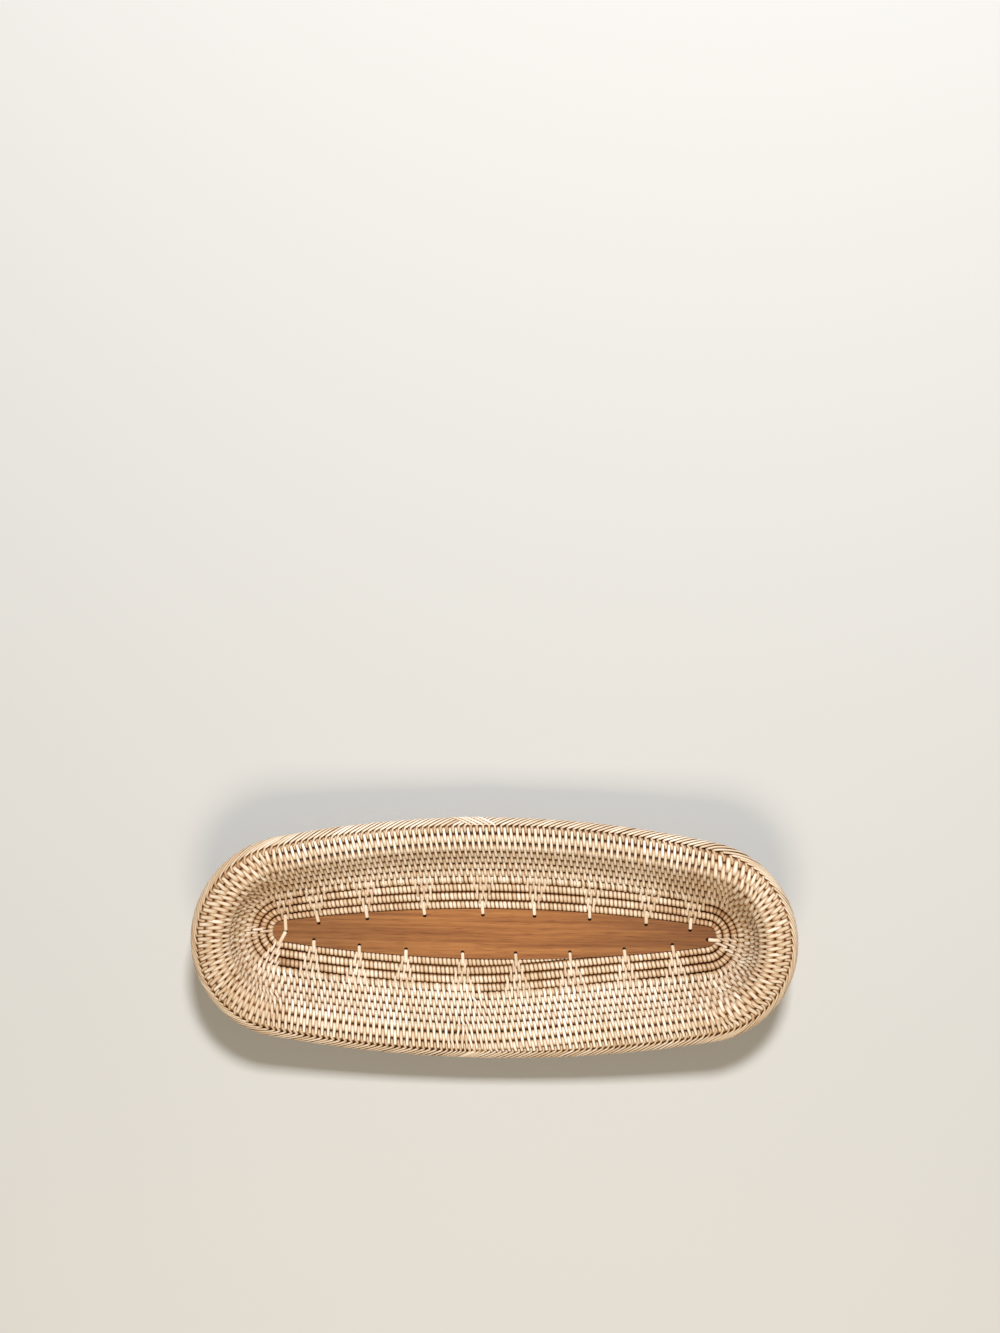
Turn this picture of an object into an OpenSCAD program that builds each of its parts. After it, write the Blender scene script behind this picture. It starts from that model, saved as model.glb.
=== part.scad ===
// Coiled oval basket: a drilled wooden base board with a coil of wrapped rattan wound round it,
// tied to the board through its holes and finished with a bordered rim.
// Millimetres, +Z up. The basket rests on the underside of the board, at the centre of its length
// and width. +X runs along the length. Turn 0 is the coil against the board, and the rim comes last.

/* [Board] */
// Length of the base board
board_len = 347; // [335:1:355]
// Width of the base board at its middle
board_w = 39; // [37:0.5:42]
// Thickness of the base board
board_t = 6; // [5:0.5:6]
// Diameter of the holes that the ties pass through
hole_d = 3; // [2.8:0.1:3.4]
// Distance from a hole's centre to the edge of the board
hole_inset = 4.6; // [4:0.1:5.5]

/* [Coil] */
// Distance between neighbouring turns, centre to centre
turn_pitch = 6.85; // [6.8:0.05:7.1]
// Diameter of the bare rattan core
core_d = 5; // [4.6:0.1:5]
// Thickness of the flat strip wrapped round the core
strip_t = 0.4; // [0.35:0.05:0.4]
// Width of the flat strip
strip_w = 2; // [1.8:0.1:2]

/* [Rim] */
// Distance from the last turn to the rim, centre to centre
rim_pitch = 6.1; // [6.1:0.1:6.5]
// Diameter of the rattan core inside the rim
rim_core_d = 4; // [3.6:0.1:4]
// Thickness of the border worked round the rim
border_t = 0.6; // [0.5:0.05:0.6]

/* [Hidden] */
turns = 11;

function two_digits(n) = n < 10 ? str("0", n) : str(n);
function core_name(k) = str("core_turn_", two_digits(k + 1));
function wrap_name(k) = str("wrap_turn_", two_digits(k + 1));

WOOD = [0.62, 0.39, 0.22];
CORE = [0.74, 0.60, 0.40];
PEEL = [0.87, 0.77, 0.61];
TIE = [0.93, 0.87, 0.74];

// Play between the core and its wrap, between the wrap and the ties that go over it, and between
// the board's edge and the first turn
core_play = 0.1;
tie_play = 0.05;
edge_play = 0.1;
// The end arcs of a ring are this much fatter than the side arcs that run on into them
seat = 0.1;
// Length of a side arc that runs on into an end arc
run_on = 0.5;
// Side arcs are long and flat, so they take a finer $fn than the end arcs
fine = 720;
coarse = 96;
round_fn = 32;
// Overshoot of a cutting solid past the face that it cuts
past = 1;

wrap_r = core_d / 2 + core_play + strip_t;
rim_r = rim_core_d / 2 + core_play + border_t;
// The ties are pulled tight, so they are a little thinner than the wrapping strip
tie_t = 0.8 * strip_t;
tie_in = wrap_r + tie_play;
tie_out = tie_in + tie_t;
// Where a tie stands in its hole, outwards of the hole's centre
leg_place = 0.8;
// The first turn stands this far out from the board's edge
edge_gap = wrap_r + edge_play;
// Room under the first turn for the ties, which stay just above the underside of the board
floor_gap = 0.03;
under_turn = tie_out - wrap_r + floor_gap;
first_z = wrap_r + under_turn;
// The grooves under the board are a little deeper and wider than the ties
groove_t = under_turn + 0.1;
groove_w = strip_w + 0.3;
// Straight parts of an outline stop this far inside the circles that they join
tuck = 0.02;

// The bowl's section: the slope from each turn up to the next, in degrees, at the middle of
// the long sides and at the tips. The wall rises, then rolls over at the shoulder and falls
// to the rim, and it is steeper at the tips, so the rim is higher there.
side_slope = [3, 3, 8, 24, 32, 38, 44, 44, 14, -8, -28];
tip_slope = [36, 36, 44, 54, 60, 68, 73, 46, 4, -20, -30];
// Half of the angle that a side arc covers, for each turn and the rim, in degrees
side_angle = [8, 8.8, 9.8, 10.8, 11.6, 12.5, 13.6, 14.6, 15, 14.8, 14.2, 13.2];

// ---- Rings ----
// A ring is a closed oval of four flat arcs: two long side arcs, tilted so that they climb
// towards the tips, and two end arcs, tilted to match. Neighbouring arcs share a tangent.

function step(k) = k < turns ? turn_pitch : rim_pitch;
function run(slope, k) = k == 0 ? 0 : run(slope, k - 1) + step(k) * cos(slope[k - 1]);
function climb(slope, k) = k == 0 ? 0 : climb(slope, k - 1) + step(k) * sin(slope[k - 1]);

// Arcs through (a, 0) and (0, b) in plan, with the tip higher than the side by rise:
// [side radius, end radius, side tilt, end tilt, half angle of the end arc]
function oval(a, b, rise, phi, tilt = 0, rounds = 30) =
    let (
        end_tilt = atan(tan(phi) * sin(tilt)),
        psi = acos(sin(phi) * cos(tilt)),
        side_x = sin(phi),
        side_y = (1 - cos(phi)) * cos(tilt),
        end_x = (1 - cos(psi)) * cos(end_tilt),
        end_y = sin(psi),
        det = side_x * end_y - end_x * side_y,
        side_r = (a * end_y - b * end_x) / det,
        end_r = (b * side_x - a * side_y) / det,
        reach = side_r * (1 - cos(phi)) + end_r * (1 - cos(psi)) * cos(end_tilt) * tan(phi)
    )
    rounds == 0
        ? [side_r, end_r, tilt, end_tilt, psi]
        : oval(a, b, rise, phi, asin(rise / reach), rounds - 1);

function half_len(k) = board_len / 2 + edge_gap + run(tip_slope, k);
function half_width(k) = board_w / 2 + edge_gap + run(side_slope, k);
function side_z(k) = first_z + climb(side_slope, k);
function tip_z(k) = first_z + climb(tip_slope, k);
rings = [
    for (k = [0 : turns])
        oval(half_len(k), half_width(k), tip_z(k) - side_z(k), side_angle[k])
];

// A point of ring k on the +Y side at a given x, with its angle round the side arc
function side_turn(k, x) = asin(x / rings[k][0]);
function side_point(k, x) =
    let (
        r = rings[k][0],
        tilt = rings[k][2],
        fall = r * (1 - cos(side_turn(k, x)))
    )
    [x, half_width(k) - fall * cos(tilt), side_z(k) + fall * sin(tilt)];

module side_arc(k, tube_r) {
    r = rings[k][0];
    tilt = rings[k][2];
    half = side_angle[k] + run_on / r * 180 / PI;
    translate([0, half_width(k) - r * cos(tilt), side_z(k) + r * sin(tilt)])
        rotate([-tilt, 0, 0])
            rotate([0, 0, 90 - half])
                rotate_extrude(angle = 2 * half, $fn = fine)
                    translate([r, 0])
                        circle(tube_r, $fn = round_fn);
}

module end_arc(k, tube_r) {
    r = rings[k][1];
    tilt = rings[k][3];
    psi = rings[k][4];
    translate([half_len(k) - r * cos(tilt), 0, tip_z(k) - r * sin(tilt)])
        rotate([0, -tilt, 0])
            rotate([0, 0, -psi])
                rotate_extrude(angle = 2 * psi, $fn = coarse)
                    translate([r, 0])
                        circle(tube_r, $fn = round_fn);
}

module ring(k, tube_r) {
    for (side = [0, 1])
        mirror([0, side, 0]) side_arc(k, tube_r);
    for (tip = [0, 1])
        mirror([tip, 0, 0]) end_arc(k, tube_r + seat);
}

module hollow_ring(k, outer_r, inner_r) {
    difference() {
        ring(k, outer_r);
        ring(k, inner_r);
    }
}

// ---- Board ----
board_oval = oval(board_len / 2, board_w / 2, 0, side_angle[0]);
// Places of the ties along X, on the +Y side and on the -Y side, in board lengths. They are set
// out by eye, so their spacing varies.
far_ties = board_len * [-0.399, -0.289, -0.159, -0.027, 0.090, 0.215, 0.343, 0.443];
near_ties = board_len * [-0.409, -0.306, -0.200, -0.072, 0.048, 0.171, 0.294, 0.403];
// Ties at the tips: the hole, the direction of the tie, and how far it is to the board's edge.
// Two of them share the hole at the -X tip.
tip_ties = [
    [[-163.5, 0], 90, 8.2],
    [[-163.5, 0], -122, 8.8],
    [[167, -2.2], -6, 6.1]
];

// Puts its children on the board's edge at x on the +Y side, with +X pointing outwards
module at_edge(x) {
    r = board_oval[0];
    turn = asin(x / r);
    translate([x, board_w / 2 - r * (1 - cos(turn)), 0])
        rotate([0, 0, 90 - turn])
            children();
}

// Puts its children at every tie, with the board's edge at x = 0 and +X pointing outwards.
// $inset is the distance from the tie's hole to the edge.
module at_ties() {
    $inset = hole_inset;
    for (x = far_ties)
        at_edge(x) children();
    mirror([0, 1, 0])
        for (x = near_ties)
            at_edge(x) children();
    for (tip = tip_ties)
        translate([tip[0][0], tip[0][1], 0])
            rotate([0, 0, tip[1]])
                translate([tip[2], 0, 0])
                    let ($inset = tip[2]) children();
}

module board_outline() {
    r = board_oval[0];
    end_r = board_oval[1];
    half_chord = r * sin(side_angle[0]) + run_on;
    intersection() {
        translate([0, board_w / 2 - r]) circle(r, $fn = fine);
        translate([0, r - board_w / 2]) circle(r, $fn = fine);
        square([2 * half_chord, board_w + past], center = true);
    }
    for (tip = [-1, 1])
        translate([tip * (board_len / 2 - end_r), 0])
            circle(end_r + seat / 2, $fn = coarse);
}

// One tie's hole, and the groove that lets the tie lie flush under the board
module tie_cut() {
    translate([-$inset, 0, -past])
        cylinder(d = hole_d, h = board_t + 2 * past, $fn = round_fn);
    translate([-$inset, -groove_w / 2, -past])
        cube([$inset + past, groove_w, past + groove_t]);
}

module base_board() {
    color(WOOD)
        difference() {
            linear_extrude(board_t) board_outline();
            at_ties() tie_cut();
        }
}

// ---- Coil ----
module core_turn(k) {
    color(CORE) ring(k, core_d / 2);
}

module wrap_turn(k) {
    color(PEEL) hollow_ring(k, wrap_r, core_d / 2 + core_play);
}

// ---- Ties and lashings ----
// The outline of a tie's outer face, or of its inner face a distance in from there: up through
// the hole, over the board and the first turn, of wrapped radius r, and back underneath
module tie_outline(r, in) {
    leg = -$inset + leg_place + in;
    low = first_z - r;
    translate([edge_gap, first_z]) circle(r, $fn = round_fn);
    polygon([
        [leg, low + tuck],
        [edge_gap, low + tuck],
        [edge_gap, first_z + r - tuck],
        [leg, board_t + tie_play + tie_t - in]
    ]);
}

module tie() {
    rotate([90, 0, 0])
        linear_extrude(strip_w, center = true)
            difference() {
                tie_outline(tie_out, 0);
                tie_outline(tie_in, tie_t);
            }
}

module board_ties() {
    color(TIE) at_ties() tie();
}

// The outline round two neighbouring turns, the second one out by dx and up by dz
module pair_outline(dx, dz, r) {
    circle(r, $fn = round_fn);
    translate([dx, dz]) circle(r, $fn = round_fn);
    rotate([0, 0, atan2(dz, dx)])
        translate([0, tuck - r])
            square([norm([dx, dz]), 2 * (r - tuck)]);
}

// Where the line square to the turns that starts from the first one at x meets turn k
function square_x(k, x) =
    k == 0
        ? x
        : let (before = square_x(k - 1, x))
          before + step(k) * cos(side_slope[k - 1]) * sin(side_turn(k - 1, before));

// How steeply turn k climbs towards the tip at x, in degrees
function side_climb(k, x) = asin(sin(side_turn(k, x)) * sin(rings[k][2]));

// A strip stitched round turns k and k + 1, at a distance along them from the tie at x
module lashing(k, x, along) {
    inner = side_point(k, square_x(k, x) + along);
    outer = side_point(k + 1, square_x(k + 1, x) + along);
    turn = atan2(outer[0] - inner[0], outer[1] - inner[1]);
    dx = norm([outer[0] - inner[0], outer[1] - inner[1]]);
    dz = outer[2] - inner[2];
    climb = (side_climb(k, inner[0]) + side_climb(k + 1, outer[0])) / 2;
    translate(inner)
        rotate([0, 0, 90 - turn])
            rotate([90 - climb, 0, 0])
                linear_extrude(strip_w, center = true)
                    difference() {
                        pair_outline(dx, dz, tie_out);
                        pair_outline(dx, dz, tie_in);
                    }
}

// From each side tie the stitches spread out: two, then three, then four
lashed_turns = 3;
lashing_gap = 0.5;
lashing_pitch = 2 * strip_w + lashing_gap;
module lashings_at(x) {
    for (k = [0 : lashed_turns - 1], i = [0 : k + 1])
        lashing(k, x, (i - (k + 1) / 2) * lashing_pitch);
}

module tie_lashings() {
    color(TIE) {
        for (x = far_ties)
            lashings_at(x);
        mirror([0, 1, 0])
            for (x = near_ties)
                lashings_at(x);
    }
}

// ---- Rim ----
module rim_core() {
    color(CORE) ring(turns, rim_core_d / 2);
}

module rim_border() {
    color(PEEL) hollow_ring(turns, rim_r, rim_core_d / 2 + core_play);
}

base_board();
for (k = [0 : turns - 1]) {
    core_turn(k);
    wrap_turn(k);
}
board_ties();
tie_lashings();
rim_core();
rim_border();
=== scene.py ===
import math

import bpy
import numpy as np
from mathutils import Matrix, Quaternion, Vector


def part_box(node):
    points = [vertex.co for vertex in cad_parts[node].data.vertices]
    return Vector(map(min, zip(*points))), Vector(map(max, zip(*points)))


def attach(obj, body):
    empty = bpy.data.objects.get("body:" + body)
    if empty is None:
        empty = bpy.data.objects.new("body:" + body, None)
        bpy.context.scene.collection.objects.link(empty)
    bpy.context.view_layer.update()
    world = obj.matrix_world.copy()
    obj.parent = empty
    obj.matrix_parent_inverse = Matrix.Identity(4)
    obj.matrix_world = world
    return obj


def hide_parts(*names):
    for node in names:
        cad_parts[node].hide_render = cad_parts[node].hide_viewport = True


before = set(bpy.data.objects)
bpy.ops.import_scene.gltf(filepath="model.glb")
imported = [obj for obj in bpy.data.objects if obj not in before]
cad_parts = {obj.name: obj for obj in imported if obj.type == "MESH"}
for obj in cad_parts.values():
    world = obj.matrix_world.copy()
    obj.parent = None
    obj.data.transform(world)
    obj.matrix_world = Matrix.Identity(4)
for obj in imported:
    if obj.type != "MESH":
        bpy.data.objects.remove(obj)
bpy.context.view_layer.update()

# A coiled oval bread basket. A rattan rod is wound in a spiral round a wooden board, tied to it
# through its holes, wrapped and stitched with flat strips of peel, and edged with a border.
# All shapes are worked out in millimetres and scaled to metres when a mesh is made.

MM = 0.001
rng = np.random.default_rng(7)

# ---- Measures ----
TURNS = 11                      # turns of the coil; the next one is the rim
SEAT = 0.1                      # the CAD rings' end arcs are this much fatter than their side arcs
CORE_R = 2.5                    # the CAD's bare rod
RIM_CORE_R = 2.0
ROD_TALL = 2.5                  # the bare rod's half height, square to the basket's wall
ROD_WIDE = 2.95                 # and half width: its turns are pressed together
RIM_TALL = 2.1
RIM_WIDE = 2.35
PEEL_T = 0.38                   # thickness of a strip
OVER = 0.41                     # how high a strip lies that crosses another
SIDE_ANGLE = [8, 8.8, 9.8, 10.8, 11.6, 12.5, 13.6, 14.6, 15, 14.8, 14.2, 13.2]

# The way round a ring, in units that are near a millimetre: clockwise seen from above, from the
# spiral's start on the -Y side
HALF_SIDE = 170.0
END = 130.0
LOOP = 4 * HALF_SIDE + 2 * END
START_X = 78.0                  # where the rod's tip lies
JOG = 118.0                     # length over which a turn moves out by one pitch
JOG_LEAD = 30.0                 # later turns begin to move out this far before the tip's place
TIP_LEAD = 12.0                 # the rod starts to thicken this far before START_X
TIP_SIZE = 0.06                 # how much of its full size the rod has at its tip
END_TAPER = 0.78                # how much of its size it has lost where its end is squeezed out
MOST_ROOM = 1.15                # a turn is at most this much wider where its neighbours stand apart
ROD_TAIL = 92.0                 # the last turn dies out this far along its jog, under the rim's border
ROD_END = TURNS * LOOP + ROD_TAIL

WRAP_PITCH = 3.3                # plain wraps
SIDE_PITCH = 4.6                # long stitches, on the long sides
FIRST_END_PITCH = 4.9           # long stitches round the ends, on the first stitched turn
LAST_END_PITCH = 6.0            # and on the last turn
STEP = 0.5                      # directions along a rod are taken this far each side of a place
LEAN = 1.1                      # how far back along the coil a stitch leans over one turn
FIRST_STITCHED = 4              # turn on which the full stitching begins
STITCH_LEAD = 89.0              # and how far along that turn


# ---- Rings ----
def oval(a, b, rise, phi):
    """Four flat arcs through (a, 0) and (0, b), the tip higher than the side by rise."""
    tilt = 0.0
    for _ in range(30):
        end_tilt = math.atan(math.tan(phi) * math.sin(tilt))
        psi = math.acos(math.sin(phi) * math.cos(tilt))
        side_y = (1 - math.cos(phi)) * math.cos(tilt)
        end_x = (1 - math.cos(psi)) * math.cos(end_tilt)
        det = math.sin(phi) * math.sin(psi) - end_x * side_y
        side_r = (a * math.sin(psi) - b * end_x) / det
        end_r = (b * math.sin(phi) - a * side_y) / det
        reach = side_r * (1 - math.cos(phi)) + end_r * end_x * math.tan(phi)
        tilt = math.asin(rise / reach)
    return side_r, end_r, tilt, end_tilt, psi


def ring_facts(k):
    """Half length, half width, height at the side and at the tip, and the arcs of ring k."""
    node, r = (f"core_turn_{k + 1:02d}", CORE_R) if k < TURNS else ("rim_core", RIM_CORE_R)
    low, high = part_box(node)
    a = high.x / MM - r - SEAT
    b = high.y / MM - r
    tip_z = high.z / MM - r - SEAT
    side_z = min(low.z / MM + r + (SEAT if k == 0 else 0), tip_z)
    phi = math.radians(SIDE_ANGLE[k])
    return a, b, side_z, tip_z, phi, oval(a, b, tip_z - side_z, phi)


RINGS = [ring_facts(k) for k in range(TURNS + 1)]


def ring_points(k, u):
    """Points of ring k at the places u, as an array of shape (n, 3)."""
    a, b, side_z, tip_z, phi, (side_r, end_r, tilt, end_tilt, psi) = RINGS[k]
    u = (np.asarray(u, float) - START_X) % LOOP       # from the middle of the -Y side, heading to -X
    u = np.where(u >= LOOP - HALF_SIDE, u - LOOP, u)
    x, y, z = np.empty_like(u), np.empty_like(u), np.empty_like(u)

    def side(mask, along, sign):
        turn = along / HALF_SIDE * phi
        fall = side_r * (1 - np.cos(turn))
        x[mask] = -sign * side_r * np.sin(turn)
        y[mask] = -sign * (b - fall * math.cos(tilt))
        z[mask] = side_z + fall * math.sin(tilt)

    def end(mask, along, sign):
        turn = psi * (2 * along / END - 1)
        back = end_r * (1 - np.cos(turn))
        x[mask] = -sign * (a - back * math.cos(end_tilt))
        y[mask] = sign * end_r * np.sin(turn)
        z[mask] = tip_z - back * math.sin(end_tilt)

    near = np.abs(u) < HALF_SIDE
    left = (u >= HALF_SIDE) & (u < HALF_SIDE + END)
    far = (u >= HALF_SIDE + END) & (u < 3 * HALF_SIDE + END)
    right = ~(near | left | far)
    side(near, u[near], 1)
    end(left, u[left] - HALF_SIDE, 1)
    side(far, u[far] - 2 * HALF_SIDE - END, -1)
    end(right, u[right] - 3 * HALF_SIDE - END, -1)
    return np.stack([x, y, z], -1)


def ring_between(p, u):
    """Points at ring positions p, which need not be whole, at the places u."""
    p = np.broadcast_to(p, np.shape(u))
    out = np.zeros(np.shape(u) + (3,))
    lower = np.clip(np.floor(p).astype(int), 0, TURNS - 1)
    for k in np.unique(lower):
        m = lower == k
        f = (p[m] - k)[:, None]
        out[m] = ring_points(k, u[m]) * (1 - f) + ring_points(k + 1, u[m]) * f
    return out


def unit(v):
    """Vectors of length 1 that point as v does."""
    return v / np.linalg.norm(v, axis=-1, keepdims=True)


def smooth(t):
    """0 up to t = 0 and 1 from t = 1, with a smooth step between them."""
    t = np.clip(t, 0, 1)
    return t * t * (3 - 2 * t)


# ---- The spiral ----
def jog(way, k):
    """How far turn k has moved out from the place of the turn before it, in pitches."""
    return smooth((way - k * LOOP + JOG_LEAD) / (JOG + JOG_LEAD))


def position(way):
    """Ring position of the rod at a distance along the spiral.

    It starts half a ring inside the first, and its end is squeezed between its neighbour and the rim.
    """
    way = np.asarray(way, float)
    p = np.full(way.shape, -1.0)
    for k in range(TURNS):
        p += jog(way, k)
    p += jog(way, TURNS) / 2
    first = smooth((way + TIP_LEAD) / JOG)
    return np.where(way < JOG, (first - 1) / 2, p)


def thickness(way):
    """How much of its full size the rod has: it tapers at its start and at its end."""
    way = np.asarray(way, float)
    start = np.clip(smooth((way + TIP_LEAD) / JOG), TIP_SIZE, 1)
    return start * (1 - END_TAPER * jog(way, TURNS))


def spiral(way):
    """The rod at places along the spiral, as the tuple described at rod_surface."""
    way = np.asarray(way, float)
    p = position(way)
    room = (position(way + LOOP) - position(np.maximum(way - LOOP, 0))) / 2
    room = np.where((way > LOOP) & (way < (TURNS - 1) * LOOP), np.clip(room, 1, MOST_ROOM), 1)
    size = thickness(way)
    centre = ring_between(p, way)
    ahead = ring_between(position(way + STEP), way + STEP)
    behind = ring_between(position(way - STEP), way - STEP)
    along = unit(ahead - behind)
    out = ring_between(np.minimum(p + 0.5, TURNS), way) - ring_between(np.maximum(p - 0.5, 0), way)
    out = unit(out - (out * along).sum(-1, keepdims=True) * along)
    return centre, out, np.cross(along, out), ROD_WIDE * size * room, ROD_TALL * np.sqrt(size)


def rim(u):
    """The same for the rim's rod."""
    u = np.asarray(u, float)
    centre = ring_points(TURNS, u)
    along = unit(ring_points(TURNS, u + STEP) - ring_points(TURNS, u - STEP))
    out = centre - ring_points(TURNS - 1, u)
    out = unit(out - (out * along).sum(-1, keepdims=True) * along)
    return centre, out, np.cross(along, out), np.full(u.shape, RIM_WIDE), np.full(u.shape, RIM_TALL)


def rod_surface(rod, angle, lift=0.0):
    """Points and normals round a rod, one row for each place and one column for each angle.

    rod holds its centre, its outward direction, its direction out of the wall, and its half width
    and half height. Angle 0 points outwards and 90 out of the wall. lift is the height above it.
    """
    centre, out, up, wide, tall = rod
    c, s = np.cos(np.radians(angle)), np.sin(np.radians(angle))
    shape = np.broadcast(wide[:, None], c).shape
    c, s, lift = (np.broadcast_to(v, shape)[..., None] for v in (c, s, lift))
    wide, tall = wide[:, None, None], tall[:, None, None]
    out, up = out[:, None], up[:, None]
    points = centre[:, None] + out * c * (wide + lift) + up * s * (tall + lift)
    return points, unit(out * c * tall + up * s * wide)


# ---- Strips ----
# Across a strip: its width as fractions of a half, and its height as fractions of its thickness
ACROSS = np.array([[-1.0, 0.0], [-0.88, 0.55], [-0.4, 0.97], [0.4, 0.97], [0.88, 0.55], [1.0, 0.0]])
EDGE_FROM = 1.4 / 2.4           # painted shade on an edge sets in from this share of a strip's half width outwards
NEXT_GRAIN = (40, 7.3)          # how far along and across the peel's grain the next strip is cut from


def strip_mesh(path, up, width, closed, thick=PEEL_T, tones=None, depth=None, lift=0.0, edge_dark=0.35):
    """Vertices, faces and colours for n strips that follow paths of shape (n, m, 3).

    up is the way out of the surface at each point, and width is per strip or per point.
    tones is a number from 0 to 1 per strip or per point. depth is painted shade, 0 on a crest and 1 in a
    gap, and edge_dark is the painted shade on a strip's edges. lift raises one edge of a strip above the
    other, as shingles lie.
    """
    n, m = path.shape[:2]
    if closed:
        ahead = np.roll(path, -1, 1) - np.roll(path, 1, 1)
    else:
        ahead = np.gradient(path, axis=1)
    side = unit(np.cross(unit(ahead), up))
    up = np.cross(side, unit(ahead))
    width = np.broadcast_to(np.asarray(width, float).reshape(n, -1), (n, m))
    c = len(ACROSS)
    offset = width[..., None] / 2 * ACROSS[:, 0]
    height = thick * ACROSS[:, 1] + lift * (ACROSS[:, 0] + 1) / 2
    points = path[:, :, None] + side[:, :, None] * offset[..., None] + up[:, :, None] * height[:, None]
    index = np.arange(n * m * c).reshape(n, m, c)
    after = np.roll(index, -1, 1) if closed else index[:, 1:]
    here = index if closed else index[:, :-1]
    quads = np.stack([here, np.roll(here, -1, 2), np.roll(after, -1, 2), after], -1).reshape(-1, 4)
    faces = [quads]
    if not closed:
        for row, flip in ((0, True), (m - 1, False)):
            ends = index[:, row]
            ends = ends[:, ::-1] if flip else ends
            faces.append(ends[:, [0, 1, 4, 5]])
            faces.append(ends[:, [1, 2, 3, 4]])
    tones = rng.random(n) if tones is None else tones
    tone = np.broadcast_to(np.reshape(tones, (n, -1))[:, :, None], (n, m, c))
    depth = np.zeros((n, m)) if depth is None else np.broadcast_to(depth, (n, m))
    edge = np.clip((np.abs(ACROSS[:, 0]) - EDGE_FROM) / (1 - EDGE_FROM), 0, 1)
    edge_dark = np.broadcast_to(edge_dark, m)[None, :, None]
    # painted shade: the deeper of the gap shade and the edge shade
    deep = np.maximum(depth[..., None], edge_dark * edge)
    steps = np.linalg.norm(np.diff(path, axis=1), axis=-1)
    reach = np.concatenate([np.zeros((n, 1)), np.cumsum(steps, 1)], 1)
    number = np.arange(n)[:, None, None]
    grain = np.stack([
        np.broadcast_to(reach[..., None] + NEXT_GRAIN[0] * number, (n, m, c)),
        np.broadcast_to(offset + NEXT_GRAIN[1] * number, (n, m, c)),
    ], -1)
    return points.reshape(-1, 3), faces, tone.reshape(-1), deep.reshape(-1), grain.reshape(-1, 2)


def join(parts):
    """One mesh from several results of strip_mesh."""
    points, faces, tone, deep, grain = [], [], [], [], []
    count = 0
    for part in parts:
        points.append(part[0])
        faces += [f + count for f in part[1]]
        tone.append(part[2])
        deep.append(part[3])
        grain.append(part[4])
        count += len(part[0])
    return np.concatenate(points), faces, np.concatenate(tone), np.concatenate(deep), np.concatenate(grain)


def make(name, mesh_parts, material, replaces):
    """Make a Blender object from mesh parts, which rides on the root body in place of CAD nodes."""
    points, faces, tone, deep, grain = mesh_parts
    faces = np.concatenate(faces)
    mesh = bpy.data.meshes.new(name)
    mesh.vertices.add(len(points))
    mesh.vertices.foreach_set("co", (points * MM).astype(np.float32).ravel())
    mesh.loops.add(faces.size)
    mesh.loops.foreach_set("vertex_index", faces.astype(np.int32).ravel())
    mesh.polygons.add(len(faces))
    mesh.polygons.foreach_set("loop_start", np.arange(0, faces.size, 4, dtype=np.int32))
    mesh.update(calc_edges=True)
    mesh.polygons.foreach_set("use_smooth", np.ones(len(faces), bool))
    for label, values in (("tone", tone), ("deep", deep)):
        layer = mesh.attributes.new(label, "FLOAT", "POINT")
        layer.data.foreach_set("value", values.astype(np.float32))
    layer = mesh.attributes.new("grain", "FLOAT_VECTOR", "POINT")
    flat = np.column_stack([grain, np.zeros(len(grain))])
    layer.data.foreach_set("vector", flat.astype(np.float32).ravel())
    mesh.validate()
    piece = bpy.data.objects.new(name, mesh)
    bpy.context.collection.objects.link(piece)
    mesh.materials.append(material)
    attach(piece, "root")
    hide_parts(*replaces)


def gap_depth(angle, begin=0.55, end=0.85):
    """How deep the painted gap shade lies: 0 on top of and under a rod, 1 at its inner and outer sides."""
    return smooth((np.abs(np.cos(np.radians(angle))) - begin) / (end - begin))


# ---- Materials ----
# Painted shade: what a strip's colour is multiplied by, from its open face to deep down in a gap where
# shadow falls
GAP_SHADE = [
    (0.0, (1.0, 1.0, 1.0)),
    (0.4, (0.76, 0.60, 0.44)),
    (0.7, (0.38, 0.22, 0.12)),
    (1.0, (0.06, 0.028, 0.014)),
]


def new_material(name):
    """A material with its nodes, its links and its shader."""
    material = bpy.data.materials.new(name)
    material.use_nodes = True
    nodes, links = material.node_tree.nodes, material.node_tree.links
    return material, nodes, links, nodes["Principled BSDF"]


def ramp(nodes, links, value, stops):
    """The output of a colour ramp through stops, driven by a value."""
    node = nodes.new("ShaderNodeValToRGB")
    links.new(value, node.inputs["Fac"])
    while len(node.color_ramp.elements) < len(stops):
        node.color_ramp.elements.new(0.5)
    for element, (place, color) in zip(node.color_ramp.elements, stops):
        element.position = place
        element.color = (*color, 1)
    return node.outputs["Color"]


def attribute(nodes, name):
    """The node that reads one of the layers that make() writes."""
    node = nodes.new("ShaderNodeAttribute")
    node.attribute_name = name
    return node


def stretched(nodes, links, vector, scale):
    """A vector scaled by a different amount along each axis."""
    node = nodes.new("ShaderNodeMapping")
    node.inputs["Scale"].default_value = scale
    links.new(vector, node.inputs["Vector"])
    return node.outputs["Vector"]


def noise(nodes, links, vector, scale, detail=2, roughness=0.5):
    """A noise texture over a vector."""
    node = nodes.new("ShaderNodeTexNoise")
    node.inputs["Scale"].default_value = scale
    node.inputs["Detail"].default_value = detail
    node.inputs["Roughness"].default_value = roughness
    links.new(vector, node.inputs["Vector"])
    return node


def multiply(nodes, links, first, second, factor=1.0):
    """The product of two colours, mixed over the first by the factor."""
    mix = nodes.new("ShaderNodeMix")
    mix.data_type = "RGBA"
    mix.blend_type = "MULTIPLY"
    mix.inputs["Factor"].default_value = factor
    links.new(first, mix.inputs["A"])
    links.new(second, mix.inputs["B"])
    return mix.outputs["Result"]


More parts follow.
